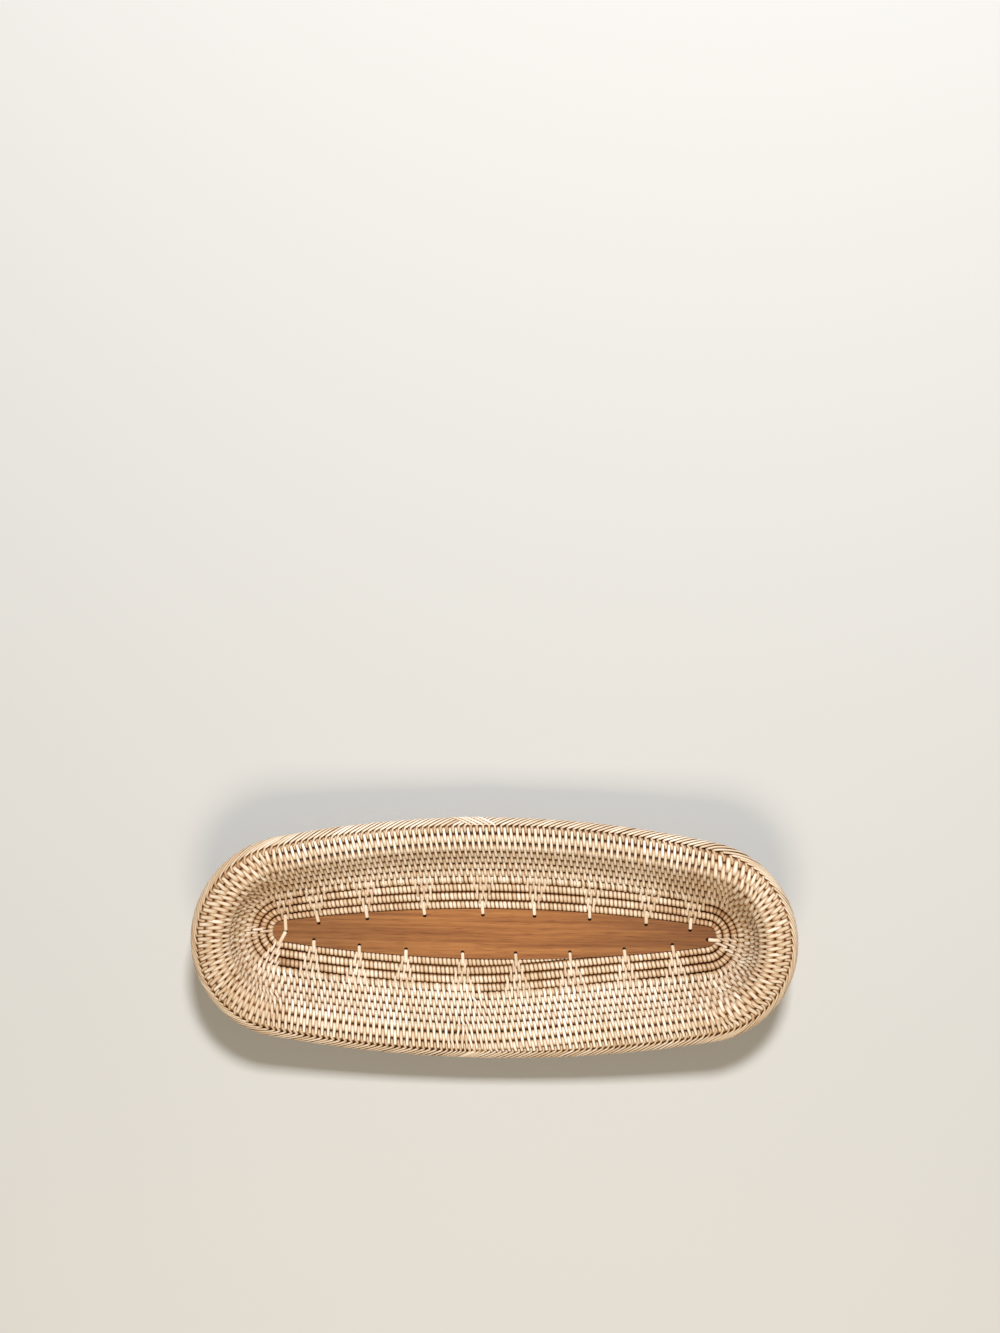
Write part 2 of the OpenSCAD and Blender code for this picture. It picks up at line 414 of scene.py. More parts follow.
def surface(nodes, links, shader, gloss_from, roughness, bump_from, strength, distance):
    """Roughness between two values and a bump, each driven by a noise."""
    gloss = nodes.new("ShaderNodeMapRange")
    gloss.inputs["To Min"].default_value, gloss.inputs["To Max"].default_value = roughness
    links.new(gloss_from, gloss.inputs["Value"])
    links.new(gloss.outputs["Result"], shader.inputs["Roughness"])
    bump = nodes.new("ShaderNodeBump")
    bump.inputs["Strength"].default_value = strength
    bump.inputs["Distance"].default_value = distance
    links.new(bump_from, bump.inputs["Height"])
    links.new(bump.outputs["Normal"], shader.inputs["Normal"])


def peel_material(name, stops):
    """Flat rattan peel: each strip has its own tone, with fine fibres along it. The tone also carries
    painted highlights and painted shade, and the deep layer carries painted shade in the gaps and on the
    edges.
    """
    material, nodes, links, shader = new_material(name)
    color = ramp(nodes, links, attribute(nodes, "tone").outputs["Fac"], stops)
    grain = attribute(nodes, "grain").outputs["Vector"]
    fibres = noise(nodes, links, stretched(nodes, links, grain, (0.12, 4.5, 1)), 1.6, 5).outputs["Fac"]
    streaks = ramp(nodes, links, fibres, [(0.3, (0.84, 0.78, 0.70)), (0.62, (1.0, 1.0, 1.0))])
    blotch = noise(nodes, links, grain, 0.05).outputs["Fac"]
    stains = ramp(nodes, links, blotch, [(0.38, (0.88, 0.81, 0.72)), (0.6, (1.0, 1.0, 1.0))])
    # painted shade in the gaps and on the strips' edges, from the deep layer
    shade = ramp(nodes, links, attribute(nodes, "deep").outputs["Fac"], GAP_SHADE)
    for layer in (streaks, stains, shade):
        color = multiply(nodes, links, color, layer)
    links.new(color, shader.inputs["Base Color"])
    shader.inputs["Specular IOR Level"].default_value = 0.35
    surface(nodes, links, shader, fibres, (0.38, 0.62), fibres, 0.35, 0.00015)
    return material


def wood_material():
    """Planed reddish-brown wood with its grain along X, browner towards the board's tips."""
    material, nodes, links, shader = new_material("board_wood")
    place = nodes.new("ShaderNodeTexCoord").outputs["Object"]
    warp = noise(nodes, links, stretched(nodes, links, place, (6, 30, 30)), 1.0)
    shifted = nodes.new("ShaderNodeVectorMath")
    shifted.operation = "MULTIPLY_ADD"
    shifted.inputs[1].default_value = (0.9, 0.9, 0.9)
    links.new(warp.outputs["Color"], shifted.inputs[0])
    links.new(stretched(nodes, links, place, (5, 240, 240)), shifted.inputs[2])
    figure = noise(nodes, links, shifted.outputs["Vector"], 1.0, 6, 0.6).outputs["Fac"]
    tones = ramp(nodes, links, figure, [
        (0.30, (0.165, 0.052, 0.012)),
        (0.45, (0.262, 0.095, 0.023)),
        (0.55, (0.325, 0.126, 0.032)),
        (0.70, (0.405, 0.168, 0.046)),
    ])
    pores = noise(nodes, links, stretched(nodes, links, place, (60, 1500, 1500)), 1.0, 3).outputs["Fac"]
    flecks = ramp(nodes, links, pores, [(0.34, (0.62, 0.52, 0.46)), (0.5, (1.0, 1.0, 1.0))])
    color = multiply(nodes, links, tones, flecks, 0.8)

    # The wood is darker towards the board's tips.
    apart = nodes.new("ShaderNodeSeparateXYZ")
    links.new(place, apart.inputs["Vector"])
    far = nodes.new("ShaderNodeMath")
    far.operation = "ABSOLUTE"
    links.new(apart.outputs["X"], far.inputs[0])
    tip_darkening = nodes.new("ShaderNodeMapRange")
    tip_darkening.interpolation_type = "SMOOTHSTEP"
    tip_darkening.inputs["From Min"].default_value = 0.02
    tip_darkening.inputs["From Max"].default_value = 0.17
    tip_darkening.inputs["To Min"].default_value = 1.0
    tip_darkening.inputs["To Max"].default_value = 0.68
    links.new(far.outputs["Value"], tip_darkening.inputs["Value"])
    tip_darkened = nodes.new("ShaderNodeVectorMath")
    tip_darkened.operation = "SCALE"
    links.new(color, tip_darkened.inputs[0])
    links.new(tip_darkening.outputs["Result"], tip_darkened.inputs["Scale"])
    links.new(tip_darkened.outputs["Vector"], shader.inputs["Base Color"])
    surface(nodes, links, shader, figure, (0.42, 0.6), pores, 0.3, 0.0002)
    return material


STRAW = [
    (0.0, (0.44, 0.285, 0.165)),
    (0.2, (0.57, 0.42, 0.285)),
    (0.5, (0.69, 0.585, 0.455)),
    (0.8, (0.82, 0.745, 0.645)),
    (1.0, (0.93, 0.89, 0.83)),
]
PALE = [(0.0, (0.62, 0.48, 0.35)), (1.0, (0.82, 0.73, 0.62))]
PEEL = peel_material("rattan_peel", STRAW)
TIE = peel_material("rattan_tie", PALE)
# The core's dark brown is painted shade: it stands for the darkness seen in the gaps between turns.
SHADED_CORE = peel_material("rattan_core", [(0.0, (0.20, 0.095, 0.04)), (1.0, (0.3, 0.16, 0.08))])
WOOD = wood_material()


# ---- Core ----
ROD_SIDES = 10
TURN_SECTIONS = 380             # cross-sections of the rod in one turn
TIP_REACH = 8.0                 # the bare rod starts this far before the spiral's start
TAIL_REACH = 6.0                # goes on this far past the last stitch
TURN_OVERLAP = 2.5              # and each turn's piece reaches this far into the next


def tube(rod, way):
    """A bare rod as one tube with closed ends, from the places of its cross-sections."""
    angle = np.arange(ROD_SIDES) * 360 / ROD_SIDES
    points, _ = rod_surface(rod, angle)
    n = len(way)
    index = np.arange(n * ROD_SIDES).reshape(n, ROD_SIDES)
    here, after = index[:-1], index[1:]
    quads = np.stack([here, after, np.roll(after, -1, 1), np.roll(here, -1, 1)], -1).reshape(-1, 4)
    caps = []
    for ends in (index[0], index[-1][::-1]):
        for j in range(1, ROD_SIDES // 2):
            caps.append([ends[j - 1], ends[j], ends[-j - 1], ends[-j]])
    tone = np.repeat(rng.random(n), ROD_SIDES)
    grain = np.stack([np.repeat(way, ROD_SIDES), np.tile(angle / 20, n)], -1)
    return points.reshape(-1, 3), [quads, np.array(caps)], tone, np.zeros(n * ROD_SIDES), grain


def core_turn(k):
    """The bare rod's turn k."""
    first = -TIP_REACH if k == 0 else k * LOOP
    last = ROD_END + TAIL_REACH if k == TURNS - 1 else (k + 1) * LOOP + TURN_OVERLAP
    way = np.linspace(first, last, TURN_SECTIONS)
    node = f"core_turn_{k + 1:02d}"
    make(f"{node}_rod", tube(spiral(way), way), SHADED_CORE, [node])


for k in range(TURNS):
    core_turn(k)


# ---- Plain wraps ----
def place_speed(way):
    """Millimetres of rod for each unit of the way along the spiral."""
    ahead = ring_between(position(way + STEP), way + STEP)
    behind = ring_between(position(way - STEP), way - STEP)
    return np.linalg.norm(ahead - behind, axis=-1) / (2 * STEP)


# A table of length along the rod, so that wraps are evenly spaced on it
WAY_TABLE = np.arange(-20.0, (TURNS + 1) * LOOP, 1.0)
SPEEDS = place_speed(WAY_TABLE)
LENGTH_TABLE = np.concatenate([[0], np.cumsum((SPEEDS[:-1] + SPEEDS[1:]) / 2)])


def length_at(way):
    """Millimetres of rod up to a place along the spiral."""
    return np.interp(way, WAY_TABLE, LENGTH_TABLE)


def way_at(length):
    """The place along the spiral at a length of rod."""
    return np.interp(length, LENGTH_TABLE, WAY_TABLE)


WRAP_STEPS = 14
WRAP_START = 2.0                # the plain wraps start this far along the first turn
WRAP_FIRST_ANGLE = 250          # a wrap starts and ends at this angle, in the gap below
WRAP_SINK = 0.12                # how far a wrap's underside is pressed into the rod
CREST_LEAN = 10                 # the painted highlight on a wrap lies this many degrees inwards of its top
CREST_HIGHLIGHT = 0.42              # and makes it this much lighter than its sides
END_SHADE = 0.44                # painted shade: how much darker and browner the strips are round the ends, where less light falls
SHADE_FROM, SHADE_TO = 110, 205 # distances from the middle between which the painted shade sets in


def end_shade(way):
    """Painted shade in a strip's tone, where less light reaches round the ends: nothing on the long sides,
    most at the tips.
    """
    x = np.abs(spiral(way)[0][:, 0])
    return END_SHADE * smooth((x - SHADE_FROM) / (SHADE_TO - SHADE_FROM))


def wraps(first, last):
    """A strip wound plainly round the rod, as one loop for each wrap."""
    reach = length_at(last) - length_at(first)
    count = round(reach / WRAP_PITCH)
    place = length_at(first) + (np.arange(count) + 0.5) * reach / count
    place += rng.normal(0, 0.12, count)
    angle = WRAP_FIRST_ANGLE - np.arange(WRAP_STEPS + 1) * 360 / WRAP_STEPS
    lean = (angle - 90) / 360 * WRAP_PITCH
    way = way_at(place[:, None] + lean)
    rod = spiral(way.ravel())
    path, normal = rod_surface(rod, np.tile(angle, count)[:, None], -WRAP_SINK)
    path, normal = path.reshape(count, -1, 3), normal.reshape(count, -1, 3)
    slow = 0.5 + 0.5 * np.sin(place / 23.0) * np.sin(place / 61.0 + 1)     # tones drift along the strip
    # the tones take the painted shade of the ends
    tones = 0.14 + 0.26 * slow + rng.normal(0, 0.12, count) - end_shade(way_at(place))
    # painted highlight on each wrap's crest
    crest = np.clip(np.sin(np.radians(angle + CREST_LEAN)), 0, 1) ** 2
    tones = np.clip(tones[:, None] + CREST_HIGHLIGHT * crest, 0, 1)
    width = WRAP_PITCH * rng.normal(0.97, 0.03, count)
    # painted shade in the gaps and on the edges
    depth = gap_depth(angle, 0.62, 0.95)[None]
    return strip_mesh(path, normal, width, False, thick=0.75, tones=tones, depth=depth, edge_dark=0.85)


def plain_turn(k):
    """Turn k's wrapping where it has no long stitches."""
    first = WRAP_START if k == 0 else k * LOOP
    node = f"wrap_turn_{k + 1:02d}"
    make(f"{node}_peel", wraps(first, (k + 1) * LOOP), PEEL, [node])


for k in range(FIRST_STITCHED):
    plain_turn(k)


# ---- Long stitches ----
STITCH_START = FIRST_STITCHED * LOOP + STITCH_LEAD
SIDE_REACH = 8                  # the spacing of the long sides goes on this far round the ends
SIDE_FADE = 24                  # and changes over this length
EVENINGS = 6                    # how often the spacing is evened out between neighbours
CROWDED = 0.45                  # no stitch is set closer than this share of the side's spacing
TOO_WIDE = (1.04, 1.34)         # two start from a gap with room for this many stitches, drawn at random


def end_pitch(way):
    """Spacing wanted for the long stitches round the ends."""
    share = np.clip((position(way) - FIRST_STITCHED) / (TURNS - 1 - FIRST_STITCHED), 0, 1)
    return FIRST_END_PITCH + (LAST_END_PITCH - FIRST_END_PITCH) * share


def side_share(way):
    """1 on the long sides and 0 round the ends."""
    u = np.abs((np.asarray(way, float) - START_X + LOOP / 4) % (LOOP / 2) - LOOP / 4)
    return smooth((HALF_SIDE + SIDE_REACH - u) / SIDE_FADE)


def wanted_pitch(way):
    """Spacing wanted for the long stitches at a place."""
    return SIDE_PITCH * side_share(way) + end_pitch(way) * (1 - side_share(way))


def square_to(start):
    """Where the line square to the turns from a place on one turn meets the next turn."""
    way = start + LOOP
    point = ring_between(position(start), start)
    for _ in range(3):
        centre, out, up, _, _ = spiral(way)
        way = way + ((point - centre) * np.cross(out, up)).sum(-1) / place_speed(way)
    return way


def stitch_places():
    """Where each long stitch is on its own turn, and where it starts on the turn before.

    The first turn's stitches are spaced evenly. Each later one starts in a gap between two of the
    turn before, and where that gap has grown too wide, two start there.
    """
    own, start = [], []
    way = STITCH_START
    while way < STITCH_START + LOOP:
        own.append(way)
        start.append(way - LOOP + LEAN)
        way = float(way_at(length_at(way) + wanted_pitch(way)))
    gap = 0
    while own[-1] < ROD_END:
        from_way = (own[gap] + own[gap + 1]) / 2
        to_way = float(square_to(np.array([from_way]))[0]) - LEAN
        room = length_at(to_way) - length_at(own[-1])
        if room > rng.uniform(*TOO_WIDE) * wanted_pitch(to_way):
            quarter = (own[gap + 1] - own[gap]) / 4
            start.append(from_way - quarter)
            own.append(float(way_at(length_at(own[-1]) + room / 2)))
            from_way += quarter
        if room > SIDE_PITCH * CROWDED:
            start.append(from_way)
            own.append(to_way)
        gap += 1
    own, start = np.array(own), np.array(start)
    for _ in range(EVENINGS):
        own[1:-1] = own[1:-1] * 0.5 + (own[:-2] + own[2:]) * 0.25
    own += rng.normal(0, 0.13, len(own))
    return own, start


OWN, START = stitch_places()
SPACING = np.gradient(length_at(OWN))

# Angles round the rod that a stitch leaves and round its own rod, and then back below them
LEAVE = np.array([262, 235, 210, 185, 165, 148, 130, 110, 90, 68])
ARRIVE = np.array([118, 98, 76, 58, 42, 28, 10, -12, -35, -60, -85])
UNDER = np.array([-68, -90])
PRESSED = 0.03                  # how high a strip lies on its own rod
LIT = 0.6                       # painted highlight: how much lighter a stitch is where it crosses between two turns
BROAD_ENDS = 0.14               # how much broader the stitches are round the ends, for their spacing
WIDTH_LIMITS = (4.0, 7.4)       # a stitch's width follows the spacing between these
END_DEPTH = 0.66                # round the ends the painted gap shade is lighter, to this share of its depth


def leaning_path(way, angle, lift):
    """Strips round a rod that lean back along it as they go outwards: points and normals."""
    n, m = len(way), len(angle)
    place = way_at(length_at(way)[:, None] - LEAN / 2 * np.cos(np.radians(angle)))
    lift = np.tile(np.broadcast_to(lift, m), n)[:, None]
    path, normal = rod_surface(spiral(place.ravel()), np.tile(angle, n)[:, None], lift)
    return path.reshape(n, m, 3), normal.reshape(n, m, 3)


def leave_depth():
    """Painted shade where a stitch comes up out of its gap: it turns light with a sharp edge."""
    return gap_depth(np.where(LEAVE < 100, 90, LEAVE), 0.72, 0.95)


def arrive_depth(begin):
    """Painted shade that deepens slowly as a stitch goes down into the next gap."""
    return gap_depth(np.where(ARRIVE > 80, 90, ARRIVE), begin, 0.92)


def lit_tones(tones):
    """A tone for each point of each stitch: a painted highlight where it crosses, painted shade where it
    dives.
    """
    leave = np.interp(-LEAVE, [-185, -130, -90, -68], [-0.3, 0.1, 0.7, 1.0])
    arrive = np.interp(-ARRIVE, [-118, -90, -58, -28], [1.0, 0.7, -0.5, -1.3])
    light = np.concatenate([leave, arrive, np.zeros(len(UNDER))])
    return np.clip(tones[:, None] + LIT * light, 0, 1)


def stitch_widths(spacing, way):
    """Widths of each stitch at each point: narrow where it crosses, broad on the rods and the ends."""
    leave = np.interp(-LEAVE, [-165, -130, -90, -68], [0.54, 0.62, 0.60, 0.54])
    arrive = np.interp(-ARRIVE, [-118, -98, -58, -28], [0.50, 0.54, 0.62, 0.62])
    share = np.concatenate([leave, arrive, np.full(len(UNDER), 0.48)])
    broad = 1 + BROAD_ENDS * (1 - side_share(way))
    return share * (broad * np.clip(spacing, *WIDTH_LIMITS))[:, None]


def loops_round_two(start_way, own_way, width, tones):
    """Closed strips round two neighbouring turns: over the first, over its own, and back under."""
    parts = [
        leaning_path(start_way, LEAVE, OVER),
        leaning_path(own_way, ARRIVE, PRESSED),
        leaning_path(start_way, UNDER, PRESSED),
    ]
    path = np.concatenate([part[0] for part in parts], 1)
    up = np.concatenate([part[1] for part in parts], 1)
    under = gap_depth(UNDER)
    depth = np.concatenate([leave_depth(), arrive_depth(0.35), under])
    # On the last turn the stitches go down under the border, just past the rod's crest, with painted shade
    # from there
    last = np.concatenate([leave_depth(), smooth((92 - ARRIVE) / 20), under])
    depth = np.where((own_way > ROD_END - LOOP)[:, None], last, depth)
    depth = depth * (END_DEPTH + (1 - END_DEPTH) * side_share(own_way))[:, None]
    return strip_mesh(path, up, width, True, thick=0.6, tones=lit_tones(tones), depth=depth, edge_dark=0.7)


STRIP_REACH = 37.0              # how far along the coil one length of peel lasts


def strip_tones(place, end_shaded=1.0):
    """Tones that drift along a strip's length and jump from one strip to the next.

    end_shaded is how much of the painted shade of the ends they take.
    """
    piece = np.floor(place / STRIP_REACH).astype(int)
    jump = np.random.default_rng(11).random(piece.max() + 2)[piece]
    tones = 0.3 + 0.25 * jump + rng.normal(0, 0.1, len(place))
    return np.clip(tones - end_shaded * end_shade(place), 0, 1)


SHORT_ANGLES = WRAP_FIRST_ANGLE - np.arange(WRAP_STEPS) * 360 / WRAP_STEPS
SHORT_SINK = 0.08               # how far a short wrap is pressed into the rod
SHORT_SHARE = 0.6               # its width as a share of the spacing
SHORT_SHADE = 0.14               # painted shade: how much darker it is than the long stitches
SHORT_END_DEPTH = 0.6           # round the ends its painted gap shade is lighter, to this share of its depth


def short_wraps(way, width, tones):
    """Closed strips round one turn, between the long stitches."""
    path, normal = leaning_path(way, SHORT_ANGLES, -SHORT_SINK)
    # painted shade in the gaps, lighter round the ends
    depth = gap_depth(SHORT_ANGLES) * (SHORT_END_DEPTH + (1 - SHORT_END_DEPTH) * side_share(way))[:, None]
    return strip_mesh(path, normal, width, True, tones=tones, depth=depth, edge_dark=0.45)


def turn_of(way):
    """The turn that a place along the spiral is on."""
    return np.minimum(np.floor(way / LOOP).astype(int), TURNS - 1)


MIDDLES = (OWN[1:] + OWN[:-1]) / 2


def stitched_turn(k):
    """Turn k's long stitches, with the short wraps between them."""
    mine = turn_of(OWN) == k
    way, spacing = OWN[mine], SPACING[mine]
    parts = [loops_round_two(START[mine], way, stitch_widths(spacing, way), strip_tones(way))]
    between = turn_of(MIDDLES) == k
    way, spacing = MIDDLES[between], SPACING[:-1][between]
    parts.append(short_wraps(way, SHORT_SHARE * spacing, strip_tones(way) - SHORT_SHADE))
    if k == FIRST_STITCHED:
        parts.append(wraps(k * LOOP, STITCH_START))
    node = f"wrap_turn_{k + 1:02d}"
    make(f"{node}_stitches", join(parts), PEEL, [node])


for k in range(FIRST_STITCHED, TURNS):
    stitched_turn(k)


# ---- Ties and lashings ----
# Where the ties are along X, in board lengths, on the +Y side and on the -Y side
FAR_TIES = [-0.399, -0.289, -0.159, -0.027, 0.090, 0.215, 0.343, 0.443]
NEAR_TIES = [-0.409, -0.306, -0.200, -0.072, 0.048, 0.171, 0.294, 0.403]
HOLE_INSET = 4.6                # from the board's edge in to the middle of a hole
HOLE_R = 1.5
TIE_WIDTH = 2.7
TIE_LEAN = 0.7                  # how far sideways a tie leans over 8 mm outwards
_, BOARD_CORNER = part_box("base_board")
BOARD_X, BOARD_Y, BOARD_TOP = (v / MM for v in BOARD_CORNER)
BOARD_R = oval(BOARD_X, BOARD_Y, 0, math.radians(SIDE_ANGLE[0]))[0]     # radius of the board's sides
# The ties at the tips: the hole's place, the heading in degrees, and how far the board's edge is
TIP_TIES = [((-163.5, 0.0), 90, 8.2), ((-163.5, 0.0), -122, 8.8), ((167.0, -2.2), -6, 6.1)]
GROOVE_Z = 0.06                 # underside of a tie in its groove
RING_GAP = 3.1                  # from the board's edge to the middle of the first turn


def side_ties():
    """Board edge points and outward directions in plan of the ties along both sides."""
    ties = []
    for places, sign in ((FAR_TIES, 1), (NEAR_TIES, -1)):
        for place in places:
            x = place * 2 * BOARD_X
            turn = math.asin(x / BOARD_R)
            y = BOARD_Y - BOARD_R * (1 - math.cos(turn))
            ties.append(((x, sign * y), (math.sin(turn), sign * math.cos(turn)), HOLE_INSET))
    return ties


def tip_ties():
    """The same for the ties at the board's tips."""
    ties = []
    for (x, y), heading, reach in TIP_TIES:
        d = (math.cos(math.radians(heading)), math.sin(math.radians(heading)))
        ties.append(((x + d[0] * reach, y + d[1] * reach), d, reach))
    return ties


def tie_path(edge, d, inset):
    """One tie: out of its hole, over the first turn, and back under it into the hole."""
    lean = rng.normal(TIE_LEAN, 0.2)
    z0 = RINGS[0][2]
    wide, tall = ROD_WIDE + OVER, ROD_TALL + OVER
    leg = -inset + HOLE_R - 0.75
    profile = [
        (leg, GROOVE_Z + 0.4), (leg, 1.5), (leg, 3.6), (leg + 0.03, BOARD_TOP - 0.5),
        (leg + 0.25, BOARD_TOP + 0.1), (leg + 0.8, BOARD_TOP + 0.28), (-0.3, BOARD_TOP + 0.32),
    ]
    profile += [
        (RING_GAP + wide * math.cos(math.radians(t)), z0 + tall * math.sin(math.radians(t)))
        for t in (112, 88, 62, 36, 10, -16, -42, -66)
    ]
    profile += [
        (RING_GAP - 1.2, GROOVE_Z + 0.38), (0.0, GROOVE_Z + 0.38), (leg + 0.8, GROOVE_Z + 0.36),
    ]
    side = (-d[1], d[0])
    path = []
    for out, z in profile:
        shift = lean * (out - leg) / 8
        path.append((edge[0] + d[0] * out + side[0] * shift, edge[1] + d[1] * out + side[1] * shift, z))
    return np.array(path)


def profile_normals(path):
    """Outward normals of closed paths that run outwards over the top."""
    ahead = unit(np.roll(path, -1, 1) - np.roll(path, 1, 1))
    across = path.mean(1, keepdims=True) - path
    # Square to the plane that a tie lies in, from three of its points
    flat = unit(np.cross(path[:, 6] - path[:, 2], path[:, 10] - path[:, 2]))[:, None]
    up = unit(np.cross(ahead, np.broadcast_to(flat, ahead.shape)))
    inward = (up * across).sum((1, 2)) > 0
    up[inward] *= -1
    return up


def tie_mesh():
    """All the ties."""
    path = np.stack([tie_path(*tie) for tie in side_ties() + tip_ties()])
    width = TIE_WIDTH * rng.normal(1, 0.06, len(path))
    tones = 0.5 + 0.5 * rng.random(len(path))
    return strip_mesh(path, profile_normals(path), width, True, tones=tones)


make("board_ties_peel", tie_mesh(), TIE, ["board_ties"])


def way_of(point, k):
    """The place along the spiral, near ring k, that is nearest to a point in plan."""
    way = np.arange(0, LOOP, 0.5) + k * LOOP
    centre = ring_between(position(way), way)
    return way[np.argmin(np.hypot(centre[:, 0] - point[0], centre[:, 1] - point[1]))]


# Angles of a lashing: out of the inner turn, over the outer one, and back under the inner one
PIERCE = np.array([86, 70])
FOLLOW = np.array([118, 98, 76, 54, 32, 10, -12, -35, -60, -85])
RETURN = np.array([-70, -86])

FAN_OUT = 3                     # a fan starts this far out from the board's edge
FIRST_LASHING = 40              # no lashing crosses the rod's thin tip before this place
LASHING_WIDTH = 1.9


def lashings():
    """From each tie the stitches spread out over the next turns: two, then three, then four.

    Returns the places where they start, and the places on the next turn where they end.
    """
    start, own = [], []
    fans = []
    for edge, d, _ in side_ties() + tip_ties():
        fans.append(((edge[0] + d[0] * FAN_OUT, edge[1] + d[1] * FAN_OUT), 2))
    fans.append(((-BOARD_X - FAN_OUT, 0.0), 1))
    for point, first_row in fans:
        way = way_of(point, 0)
        inside_jog = way < JOG or way > LOOP - JOG_LEAD
        for k in range(FIRST_STITCHED if inside_jog else FIRST_STITCHED - 1):
            base = way + k * LOOP
            nxt = float(square_to(np.array([base]))[0])
            for i in range(k + first_row):
                along = (i - (k + first_row - 1) / 2) * SIDE_PITCH + rng.normal(0, 0.18)
                start.append(float(way_at(length_at(base) + along)))
                own.append(float(way_at(length_at(nxt) + along + rng.normal(0, 0.15))))
            way = nxt - (k + 1) * LOOP
    return np.array(start), np.array(own)


def lashing_mesh():
    """All the lashings, up to where the long stitches start."""
    start, own = lashings()
    keep = (start > FIRST_LASHING) & (own < STITCH_START + 5)
    start, own = start[keep], own[keep]
    inner, outer = spiral(start), spiral(own)
    parts = [
        rod_surface(inner, PIERCE, np.array([-0.2, OVER])),
        rod_surface(outer, FOLLOW, OVER),
        rod_surface(inner, RETURN, np.array([OVER, -0.2])),
    ]
    path = np.concatenate([part[0] for part in parts], 1)
    up = np.concatenate([part[1] for part in parts], 1)
    # painted shade where a lashing goes down into the gap
    depth = np.concatenate([[0, 0], gap_depth(np.where(FOLLOW > 80, 90, FOLLOW)), [0, 0]])
    width = rng.normal(LASHING_WIDTH, 0.1, len(start))
    return strip_mesh(path, up, width, True, thick=0.5, depth=depth[None], edge_dark=0.2)


make("tie_lashings_peel", lashing_mesh(), TIE, ["tie_lashings"])


# ---- Rim ----
RIM_SWEEP = 14.5                # how far a border strip runs along the rim over its top


def rim_rod():
    """The rim's bare rod, once round."""
    u = np.linspace(0, LOOP, TURN_SECTIONS)
    return tube(rim(u), u)


make("rim_core_rod", rim_rod(), SHADED_CORE, ["rim_core"])

# A border strip's way from the crest of the last turn over the rim and round to its underside:
# outward and upward of the rim's centre
BORDER_PROFILE = np.array([
    [-4.5, 2.75], [-4.0, 2.9], [-3.2, 2.9], [-2.3, 2.85], [-1.2, 2.75], [0.0, 2.5], [1.0, 2.05],
    [1.8, 1.35], [2.3, 0.5], [2.3, -0.6], [1.8, -1.5], [1.0, -2.1], [0.0, -2.4], [-1.2, -2.55],
    [-2.4, -2.65], [-3.6, -2.8], [-4.8, -2.95], [-5.6, -3.0],
])
OVER_TOP = 9                    # of these points, those that are over the top
BAR = LEAVE[LEAVE > 100]        # angles round the last turn of the strip's first part
CROSSED = (-24.0, 3.0)          # where along X the border's two ends cross, on the +Y side
CROSSED_LIFT = 0.5              # how high the crossing strips lie over the others
SHINGLE = 0.3                   # how far one edge of a border strip lies above the other
BORDER_END_SHADE = 0.5              # how much of the painted shade of the ends the border takes
BORDER_LIGHT = 0.36             # and how much lighter it is than the stitches


def border_strips(start, spacing, heading, lift):
    """Strips that start on the last turn, cross to the rim and sweep along it as they go round.

    Where they are far apart they sweep further, so that they still lie edge to edge.
    """
    first, first_up = leaning_path(start, BAR, OVER)
    steps = np.linalg.norm(np.diff(BORDER_PROFILE, axis=0), axis=1)
    reach = np.concatenate([[0], np.cumsum(steps)])
    sweep = RIM_SWEEP * spacing / SIDE_PITCH
    along = reach / reach[OVER_TOP - 1] * sweep[:, None]
    base = start % LOOP + LEAN / 2 * np.cos(np.radians(BAR[-1]))
    place = base[:, None] + heading * along
    n, m = place.shape
    centre, out, up, _, _ = rim(place.ravel())
    x, z = np.tile(BORDER_PROFILE[:, 0], n)[:, None], np.tile(BORDER_PROFILE[:, 1], n)[:, None]
    ahead = np.gradient(BORDER_PROFILE, axis=0)
    nx, nz = np.tile(-ahead[:, 1], n)[:, None], np.tile(ahead[:, 0], n)[:, None]
    normal = unit(out * nx + up * nz)
    second = centre + out * x + up * z + normal * lift
    path = np.concatenate([first, second.reshape(n, m, 3)], 1)
    normals = np.concatenate([first_up, normal.reshape(n, m, 3)], 1)
    return path, normals


def border_mesh(start, spacing, heading, lift):
    """Slanting border strips: narrow over the last turn, and broad enough to meet on the rim."""
    path, normals = border_strips(start, spacing, heading, lift)
    reach = np.linalg.norm(np.diff(BORDER_PROFILE[:OVER_TOP], axis=0), axis=1).sum()
    broad = spacing * np.sin(np.arctan(reach / (RIM_SWEEP * spacing / SIDE_PITCH)))
    share = np.concatenate([np.zeros(len(BAR)), np.ones(len(BORDER_PROFILE))])
    share[len(BAR)] = 0.6
    narrow = 0.42 * np.clip(spacing, 4.0, 5.6)
    width = narrow[:, None] * (1 - share) + broad[:, None] * share
    # painted shade where a strip comes out of its gap and on its edges, fading towards the rim's outside
    depth = np.concatenate([gap_depth(BAR, 0.72, 0.95), [0.3], np.zeros(len(BORDER_PROFILE) - 1)])
    tones = strip_tones(start, BORDER_END_SHADE)[:, None] + np.where(share > 0, BORDER_LIGHT, 0.0)
    fading = np.interp(BORDER_PROFILE[:, 0], [-4.5, 2.0], [1.0, 0.65])
    edge_dark = np.concatenate([np.full(len(BAR), 0.7), fading])
    return strip_mesh(
        path, normals, width, False, thick=0.7, tones=np.clip(tones, 0, 1), depth=depth[None],
        lift=SHINGLE, edge_dark=edge_dark,
    )


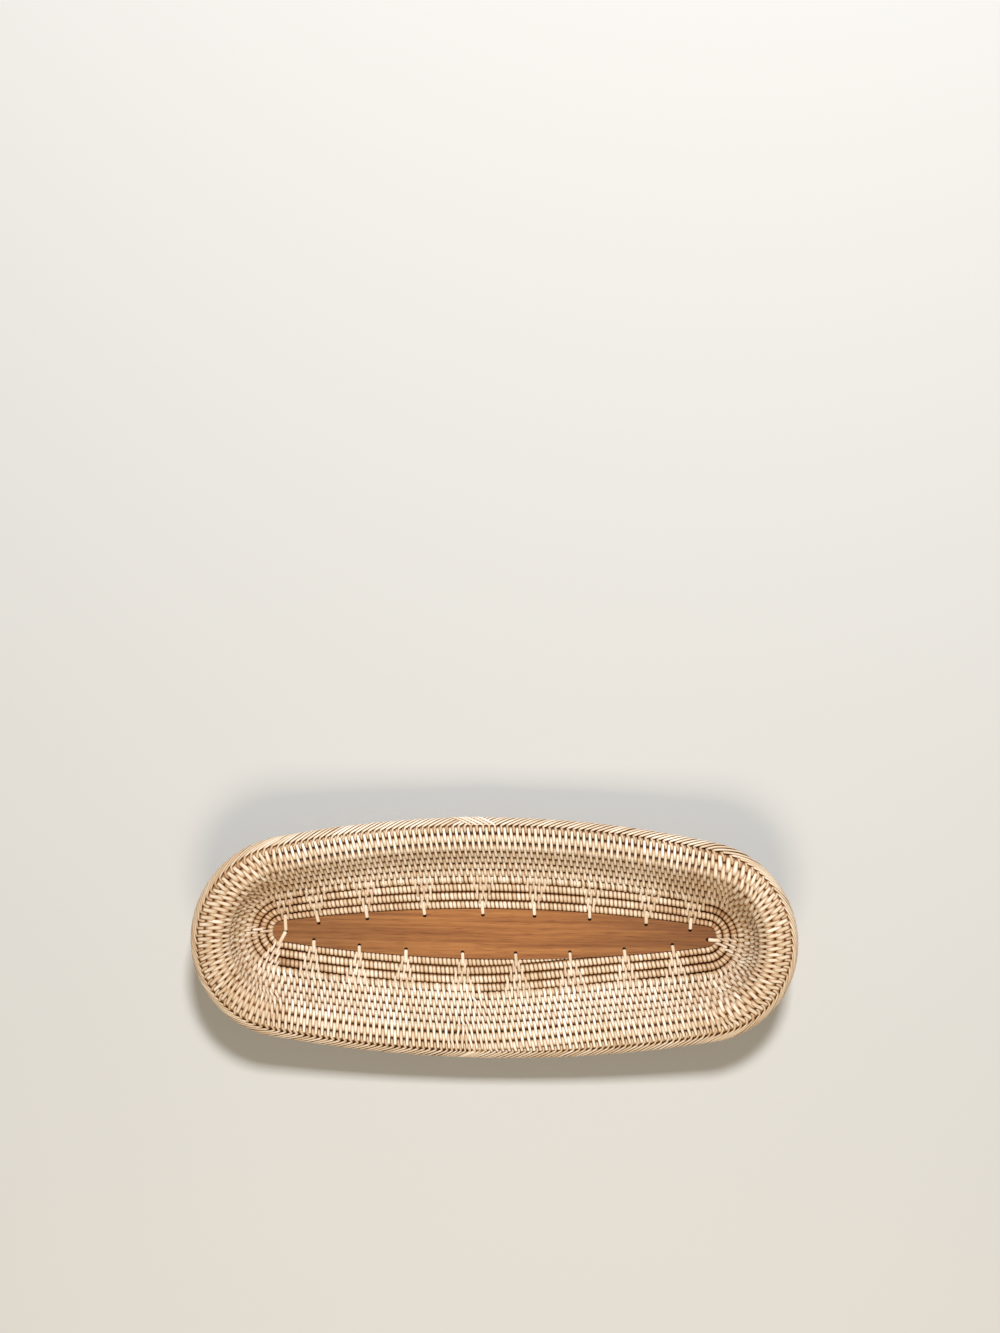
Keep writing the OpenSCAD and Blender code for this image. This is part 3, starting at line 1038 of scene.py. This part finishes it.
def border():
    """Border strips all the way round, one from each gap of the last turn's stitches."""
    last = MIDDLES > ROD_END - LOOP - SIDE_PITCH        # one strip more, so that the round closes
    start, spacing = MIDDLES[last], SPACING[:-1][last]
    x, y = (spiral(start)[0][:, i] for i in (0, 1))
    crossed = (x > CROSSED[0]) & (x < CROSSED[1]) & (y > 0)
    over = border_mesh(start, spacing, 1, 0.0)
    back = border_mesh(start[crossed], spacing[crossed], -1, CROSSED_LIFT)
    return join([over, back])


make("rim_border_peel", border(), PEEL, ["rim_border"])


# ---- Board ----
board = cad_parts["base_board"]
for material_slot in board.material_slots:
    material_slot.material = WOOD


# ---- Floor, lights and camera ----
def floor():
    """A plain pale floor."""
    mesh = bpy.data.meshes.new("floor")
    half = 6.0
    corners = [(-half, -half, 0), (half, -half, 0), (half, half, 0), (-half, half, 0)]
    mesh.from_pydata(corners, [], [(0, 1, 2, 3)])
    plane = bpy.data.objects.new("floor", mesh)
    bpy.context.collection.objects.link(plane)
    material, _, _, shader = new_material("floor")
    shader.inputs["Base Color"].default_value = (0.52, 0.515, 0.50, 1)
    shader.inputs["Roughness"].default_value = 0.9
    mesh.materials.append(material)


def area_light(name, place, size, power, color):
    """A soft light that points at the basket."""
    light = bpy.data.lights.new(name, "AREA")
    light.shape = "RECTANGLE"
    light.size, light.size_y = size
    light.energy = power
    light.color = color
    lamp = bpy.data.objects.new(name, light)
    lamp.location = place
    lamp.rotation_mode = "QUATERNION"
    lamp.rotation_quaternion = (-Vector(place)).to_track_quat("-Z", "Y")
    bpy.context.collection.objects.link(lamp)


def lights():
    """A key light from behind and above, a warm fill from the front, and a dim warm surrounding."""
    area_light("key", (0.25, 2.0, 2.2), (0.6, 0.45), 114, (0.98, 0.99, 1.0))
    area_light("fill", (0.0, -1.5, 1.4), (1.0, 0.7), 27, (1.0, 0.87, 0.68))
    bpy.context.scene.view_settings.view_transform = "Standard"
    world = bpy.data.worlds.new("studio")
    world.use_nodes = True
    background = world.node_tree.nodes["Background"]
    background.inputs["Color"].default_value = (1.0, 0.92, 0.79, 1)
    background.inputs["Strength"].default_value = 0.16
    bpy.context.scene.world = world


def camera():
    """The photograph's view: nearly square to the basket, which lies low in the frame."""
    tilt, roll = math.radians(8.5), math.radians(0.76)
    distance = 1.164
    focal = 1.1253                                      # in frame heights
    middle = Vector((0.0, 0.0, 0.036))
    low = Vector((-0.0041, -0.2050, -focal)).normalized()   # the middle, seen from the camera
    back = Vector((0, math.sin(tilt), math.cos(tilt)))
    right = Vector((1, 0, 0))
    look = Matrix((right, back.cross(right), back)).transposed().to_quaternion()
    look = look @ Quaternion((0, 0, 1), roll) @ low.rotation_difference(Vector((0, 0, -1)))
    data = bpy.data.cameras.new("camera")
    data.sensor_width = 36
    data.lens = focal * data.sensor_width
    data.clip_start, data.clip_end = 0.01, 50
    cam = bpy.data.objects.new("camera", data)
    cam.location = middle + back * distance
    cam.rotation_mode = "QUATERNION"
    cam.rotation_quaternion = look
    bpy.context.collection.objects.link(cam)
    bpy.context.scene.camera = cam


floor()
lights()
camera()
